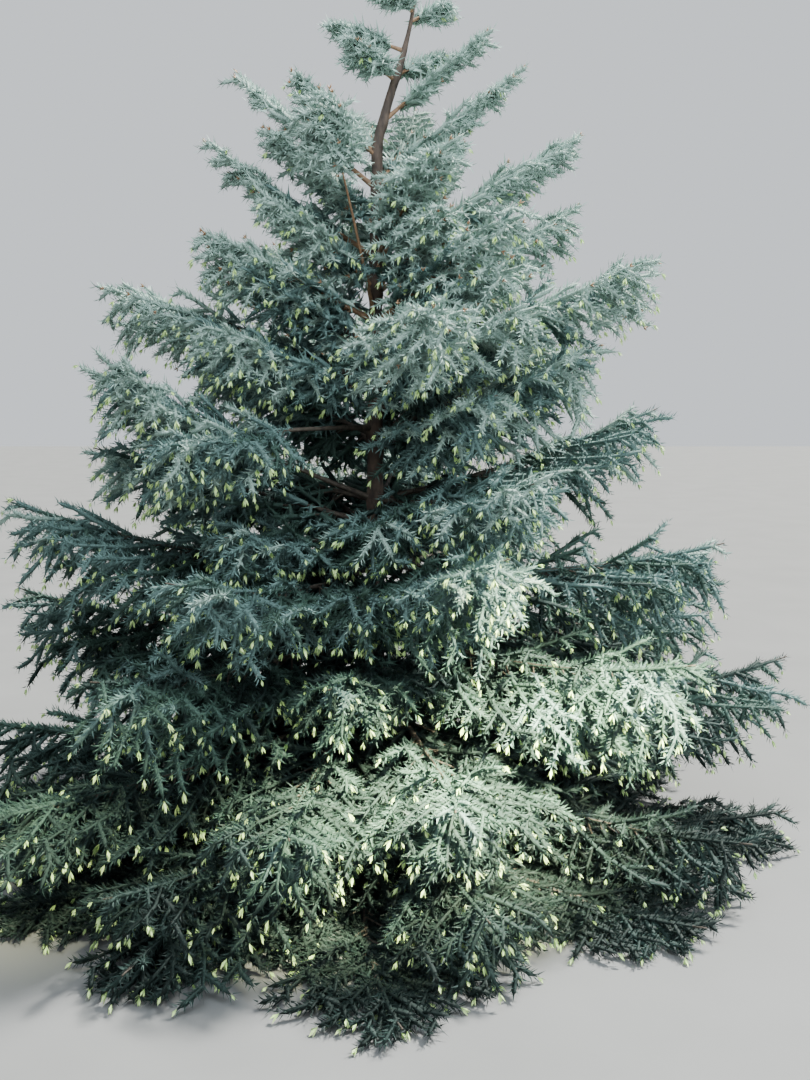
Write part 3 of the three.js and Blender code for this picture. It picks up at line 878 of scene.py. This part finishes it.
def material(name, shades, grain, roughness, bump=None, stretch=(1, 1, 1), shine=PLAIN_SHINE):
    """A surface whose colour and roughness vary between two values with a noise, and that may have a bump.

    The grain is how fine the noise is, and a bump is given by its strength and how fine it is.
    """
    made = bpy.data.materials.new(name)
    made.use_nodes = True
    nodes, links = made.node_tree.nodes, made.node_tree.links
    shader = nodes["Principled BSDF"]
    shader.inputs["Specular IOR Level"].default_value = shine
    place = nodes.new("ShaderNodeTexCoord")
    mapping = nodes.new("ShaderNodeMapping")
    mapping.inputs["Scale"].default_value = stretch
    links.new(place.outputs["Object"], mapping.inputs["Vector"])

    def noise(scale, detail):
        """A noise over the surface."""
        texture = nodes.new("ShaderNodeTexNoise")
        texture.inputs["Scale"].default_value = scale
        texture.inputs["Detail"].default_value = detail
        links.new(mapping.outputs["Vector"], texture.inputs["Vector"])
        return texture.outputs["Fac"]

    value = noise(grain, SHADE_DETAIL)
    tone = nodes.new("ShaderNodeValToRGB")
    for element, stop, shade in zip(tone.color_ramp.elements, SHADE_STOPS, shades):
        element.position = stop
        element.color = srgb(shade)
    links.new(value, tone.inputs["Fac"])
    links.new(tone.outputs["Color"], shader.inputs["Base Color"])
    gloss = nodes.new("ShaderNodeMapRange")
    gloss.inputs["To Min"].default_value = roughness[0]
    gloss.inputs["To Max"].default_value = roughness[1]
    links.new(value, gloss.inputs["Value"])
    links.new(gloss.outputs["Result"], shader.inputs["Roughness"])
    if bump:
        strength, scale = bump
        relief = nodes.new("ShaderNodeBump")
        relief.inputs["Strength"].default_value = strength
        relief.inputs["Distance"].default_value = BUMP_HEIGHT
        links.new(noise(scale, BUMP_DETAIL), relief.inputs["Height"])
        links.new(relief.outputs["Normal"], shader.inputs["Normal"])
    return made


def shaded(color, shades):
    """The darkest and the lightest shade of a colour."""
    return [tuple(shade * np.array(color)) for shade in shades]


def put(name, data):
    """Data as an object of the scene."""
    made = bpy.data.objects.new(name, data)
    bpy.context.scene.collection.objects.link(made)
    return made


def mesh_piece(name, verts, faces, finish, slot, smooth=False, lowest=LEAST_HEIGHT):
    """A joined mesh as a piece of the tree."""
    verts = np.concatenate([verts[:, :2], np.maximum(verts[:, 2:], lowest)], axis=1)
    mesh = bpy.data.meshes.new(name)
    mesh.vertices.add(len(verts))
    mesh.vertices.foreach_set("co", np.ascontiguousarray(verts, np.float32).ravel())
    mesh.loops.add(faces.size)
    mesh.loops.foreach_set("vertex_index", np.ascontiguousarray(faces, np.int32).ravel())
    mesh.polygons.add(len(faces))
    mesh.polygons.foreach_set("loop_start", np.arange(0, faces.size, faces.shape[1], dtype=np.int32))
    mesh.polygons.foreach_set("use_smooth", np.full(len(faces), smooth))
    mesh.update(calc_edges=True)
    mesh.validate()
    mesh.materials.append(finish)
    piece = put(name, mesh)
    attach(piece, "root")
    return piece


def twig_line(places, first=0):
    """The side twigs' lines, sampled from a first share on."""
    return sampled(lambda s: twig_point(twigs, first + (1 - first) * s, twigs.length), len(twigs.k), places)


def shoot_line(shoots, places):
    """The lines of shoots, sampled at shares of their length."""
    return sampled(lambda u: shoot_point(shoots, u, shoots.length), len(shoots.k), places)


def stem_line(places, first=0):
    """The boughs' own lines, sampled from a first share on."""
    return sampled(lambda t: bough_point(bough_rows, first + (1 - first) * t), len(bough_rows), places)


def density(outer):
    """Share of the full number of needles, by how far out in the crown a line is."""
    return INNER_DENSITY + (1 - INNER_DENSITY) * np.clip((outer - DENSITY_START) / DENSITY_RANGE, 0, 1)


def core_width(outer):
    """How much wider the cores are inside the crown, where needles are few."""
    return 1 + INNER_CORE * np.clip((INNER_OUTER - outer) / INNER_RANGE, 0, 1)[:, None]


def in_needles(table, length, start, density, age, spray, cores, core_radius, seed):
    """A family of lines in needles, with the lines and radii of their cores."""
    count = len(length)
    return SimpleNamespace(
        table=table, length=length, start=np.ones(count) * start, density=density, age=np.clip(age, 0, 1),
        spray=spray, cores=cores, radii=np.ones((count, 1)) * core_radius, seed=np.full(count, seed))


def shoots_in_needles(shoots, table, core_radius, seed):
    """A family of shoots in needles."""
    return in_needles(
        table, shoots.length, SHOOT_NEEDLES, density(shoots.outer), shoots.outer, shoots.spray,
        shoot_line(shoots, SHOOT_PLACES), core_radius * core_width(shoots.outer) * SHOOT_TAPER, seed)


def stems_in_needles():
    """The boughs' leading stems in needles, from where their green begins."""
    green = np.maximum(STEM_GREEN, boughs.bare + LIMB_ROOM)
    radii = bough_radius(bough_rows, green)[:, None] * (1 - TWIG_NARROWING * STEM_PLACES) + STEM_CORE
    full = np.ones(len(bough_rows))
    return in_needles(
        stem_lines, boughs.reach, green - STEM_OVERLAP, full, STEM_AGE * full, boughs.number * STEM_NUMBERS,
        stem_line(STEM_PLACES, green), radii, NEEDLE_DRAWS["stems"])


def leader_line():
    """The leader's line from where its needles begin to its tip, as a family of one line."""
    height = np.linspace(LEADER_NEEDLES, TRUNK_LINE[-1, 0], len(LEADER_CORE))
    return np.stack([trunk_at(height)[0], 0 * height, height], -1)[None]


def deal_tints(families):
    """The number of each line's tint, for every family: silver furthest out and up, darkest inside and low,
    partly for age and partly as painted shade.
    """
    values = np.concatenate([AGE_SHARE * one.age + np.interp(one.table[:, 0, 2], TINT_HEIGHTS, HEIGHT_AND_SHADE_VALUES)
                             + draw(one.spray, TINT_DRAW, DRAWS["tint"]) for one in families])
    weights = np.concatenate([one.length * one.density for one in families])
    order = np.argsort(values)
    shares = np.empty(len(values))
    shares[order] = np.cumsum(weights[order]) / weights.sum()
    tints = np.searchsorted(TINT_SHARES, shares)
    return np.split(tints, np.cumsum([len(one.length) for one in families])[:-1])


def tipped(shoots, table, share):
    """Ends and directions of outer shoots with fresh tips: a share of them, and fewer from a height on."""
    left = share * (1 - HIGH_TIPS * np.clip((table[:, -1, 2] - TIP_HEIGHT) / TIP_FADE, 0, 1))
    chosen = (shoots.outer > TIP_OUTER) & (draw(shoots.number, TIP_DRAW, DRAWS["tip"]) < left)
    return line_ends(table[chosen])


def all_ends(families):
    """Ends and directions of several families as one."""
    ends, ways = zip(*families)
    return np.concatenate(ends), np.concatenate(ways)


def lamp(kind, name, energy, color, place, turn):
    """A light, put into the scene."""
    light = bpy.data.lights.new(name, kind)
    light.energy = energy
    light.color = color
    made = put(name, light)
    made.location = place
    made.rotation_euler = turn
    return made


def facing(way):
    """The turn of a light that shines against a direction."""
    return way.to_track_quat("Z", "Y").to_euler()


# Twigs and shoots
twigs = together([grow_twigs(layer, *change) for layer, change in enumerate(LAYERS)])
growth = [grow_twig_shoots(twigs), grow_stem_shoots()]
long_shoots = together([long for long, _ in growth])
branched = draw(long_shoots.number, BRANCH_DRAW, DRAWS["size"]) < SIDE_SHOOT_SHARE
side_shoots = grow_side_shoots(picked(long_shoots, branched))
short_shoots = together([short for _, short in growth] + [side_shoots])
twig_lines = twig_line(LINE_PLACES)
long_lines = shoot_line(long_shoots, LINE_PLACES)
short_lines = shoot_line(short_shoots, LINE_PLACES)
stem_lines = stem_line(STEM_LINE_PLACES)
leader = leader_line()

# Needles and their cores, a piece of each for every tint
twig_green = TWIG_GREEN * (1 - twigs.t)
families = [
    shoots_in_needles(long_shoots, long_lines, LONG_CORE, NEEDLE_DRAWS["long"]),
    shoots_in_needles(short_shoots, short_lines, SHORT_CORE, NEEDLE_DRAWS["short"]),
    in_needles(twig_lines, twigs.length, twig_green, TWIG_DENSITY * density(twigs.t), twigs.t + TWIG_AGE,
               twigs.number, twig_line(TWIG_PLACES, twig_green),
               TWIG_CORE * core_width(twigs.t) * TWIG_TAPER, NEEDLE_DRAWS["twigs"]),
    stems_in_needles(),
    in_needles(leader, leader[:, -1, 2] - leader[:, 0, 2], 0.0, np.ones(1), np.ones(1), np.zeros(1),
               leader, LEADER_CORE, NEEDLE_DRAWS["leader"]),
]
line_tints = deal_tints(families)
foliage = sorted(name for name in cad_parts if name.startswith("foliage"))
for index, (name, color) in enumerate(NEEDLE_TINTS.items()):
    chosen = [picked(one, tints == index) for one, tints in zip(families, line_tints)]
    chosen = [one for one in chosen if len(one.length)]
    verts = np.concatenate([needle_pairs(one.table, one.length, one.start, one.density, one.seed[0])
                            for one in chosen])
    faces = np.arange(3 * len(verts)).reshape(-1, 3)
    finish = material(f"needles_{name}", shaded(color, NEEDLE_SHADES), grain=30, roughness=(0.5, 0.65),
                      bump=(0.25, 400), shine=NEEDLE_SHINE)
    piece = mesh_piece(f"needles_{name}", verts.reshape(-1, 3), faces, finish, "foliage")
    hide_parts(*foliage)
    # Cores take a darker range of their tint than the needles: painted shade between the needles
    finish = material(f"cores_{name}", shaded(color, CORE_SHADES_IN_PAINTED_SHADE), grain=240, roughness=(0.6, 0.8),
                      bump=(0.6, 700), shine=NEEDLE_SHINE)
    verts, faces = joined([tubes(one.cores, one.radii, CORE_SIDES) for one in chosen])
    mesh_piece(f"cores_{name}", verts, faces, finish, "foliage", smooth=True)

# Bark of twigs, on older ones up to their green part, of boughs and of the trunk
old_bark = material("old_bark", ((50, 46, 42), (84, 77, 68)), grain=60, roughness=(0.65, 0.85),
                    bump=(0.5, 500), shine=OLD_SHINE)
young_bark = material("young_bark", ((104, 80, 60), (144, 112, 82)), grain=60, roughness=(0.6, 0.8),
                      bump=(0.4, 500))
young = boughs.root[twigs.k] > YOUNG_HEIGHT
bark_end = np.where(young, 1, twig_green + BARK_OVERLAP)
bark_lines = sampled(lambda s: twig_point(twigs, bark_end * s, twigs.length), len(twigs.k), BARK_PLACES)
twig_radius = TWIG_STOUTNESS * bough_radius(twigs.k, twigs.t)
radii = twig_radius[:, None] * (1 - TWIG_NARROWING * np.array(BARK_PLACES)) + LEAST_BARK
for name, chosen, finish in (("old_twigs", ~young, old_bark), ("young_twigs", young, young_bark)):
    verts, faces = tubes(bark_lines[chosen], radii[chosen], TWIG_BARK_SIDES)
    mesh_piece(name, verts, faces, finish, "bough_bark", smooth=True)
limbs = [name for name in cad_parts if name.startswith("bough")]
young = boughs.root > YOUNG_HEIGHT
for name, chosen, finish in (("old_boughs", ~young, old_bark), ("young_boughs", young, young_bark)):
    verts, faces = joined([bough_bark_mesh(k) for k in bough_rows[chosen]])
    piece = mesh_piece(name, verts, faces, finish, "bough_bark", smooth=True)
    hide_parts(*limbs)
trunk_bark = material("trunk_bark", ((44, 36, 32), (86, 72, 62)), grain=45, roughness=(0.75, 0.92),
                      bump=(0.6, 260), stretch=(1, 1, 0.45))
trunk = mesh_piece("trunk_bark", *trunk_bark_mesh(), trunk_bark, "trunk_bark", smooth=True, lowest=0)
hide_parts("trunk")

# Fresh tips and buds
tip_green = material("fresh_green", ((162, 200, 118), (204, 228, 158)), grain=70, roughness=(0.4, 0.55),
                     bump=(0.2, 300))
ends, ways = all_ends([tipped(long_shoots, long_lines, 1),
                       tipped(short_shoots, short_lines, SHORT_TIP_SHARE)])
tips = fresh_tips(ends, ways, DRAWS["tip"])
start = tips.shape[1] * np.arange(len(tips))[:, None]
faces = np.concatenate([start + [0, 1, 2], start + [0, 2, 3]])
mesh_piece("fresh_tips", tips.reshape(-1, 3), faces, tip_green, "foliage")
bud_brown = material("bud_scales", ((112, 84, 62), (158, 122, 88)), grain=120, roughness=(0.4, 0.6),
                     bump=(0.3, 600))
budded = (boughs.root[twigs.k] > BUD_HEIGHT) & (draw(twigs.number, BUD_DRAW, DRAWS["tip"]) < BUD_SHARE)
ends, ways = all_ends([line_ends(twig_lines[budded]), line_ends(stem_lines[boughs.root > BUD_HEIGHT]),
                       line_ends(leader)])
mesh_piece("buds", *buds(ends, ways, BUD_SHAPE_DRAW), bud_brown, "foliage", smooth=True)

# Floor
floor_mesh = bpy.data.meshes.new("floor")
corners = [(x * FLOOR_HALF, y * FLOOR_HALF, 0) for x, y in ((-1, -1), (1, -1), (1, 1), (-1, 1))]
floor_mesh.from_pydata(corners, [], [(0, 1, 2, 3)])
floor_mesh.materials.append(material("floor_paint", ((104, 106, 106), (110, 112, 112)), grain=2,
                                     roughness=(0.8, 0.9)))
floor = put("floor", floor_mesh)

# Light
world = bpy.data.worlds.new("studio")
bpy.context.scene.world = world
world.use_nodes = True
background = world.node_tree.nodes["Background"]
background.inputs["Color"].default_value = SKY_COLOR
background.inputs["Strength"].default_value = SKY_STRENGTH
sun = lamp("SUN", "key", SUN_STRENGTH, SUN_COLOR, (0, 0, 0), [math.radians(angle) for angle in SUN_TURN])
sun.data.angle = math.radians(SUN_SIZE)
for energy, cone, width, middle in PATCHES:
    patch = lamp("SPOT", "patch", energy, PATCH_COLOR, Vector(middle) + PATCH_DISTANCE * PATCH_WAY,
                 facing(PATCH_WAY))
    patch.scale = (width, 1, 1)
    patch.data.shadow_soft_size = PATCH_SOFTNESS
    patch.data.spot_size = math.radians(cone)
    patch.data.spot_blend = PATCH_BLEND
for energy, size, place, way in FILLS:
    fill = lamp("AREA", "fill", energy, FILL_COLOR, place, facing(Vector(way)))
    fill.data.size = size
    fill.visible_camera = False

# Camera
camera = put("camera", bpy.data.cameras.new("camera"))
camera.data.sensor_width = CAMERA_SENSOR
camera.data.lens = CAMERA_LENS
camera.location = CAMERA_PLACE
camera.rotation_euler = (math.radians(90 - CAMERA_DIP), 0, 0)
bpy.context.scene.camera = camera
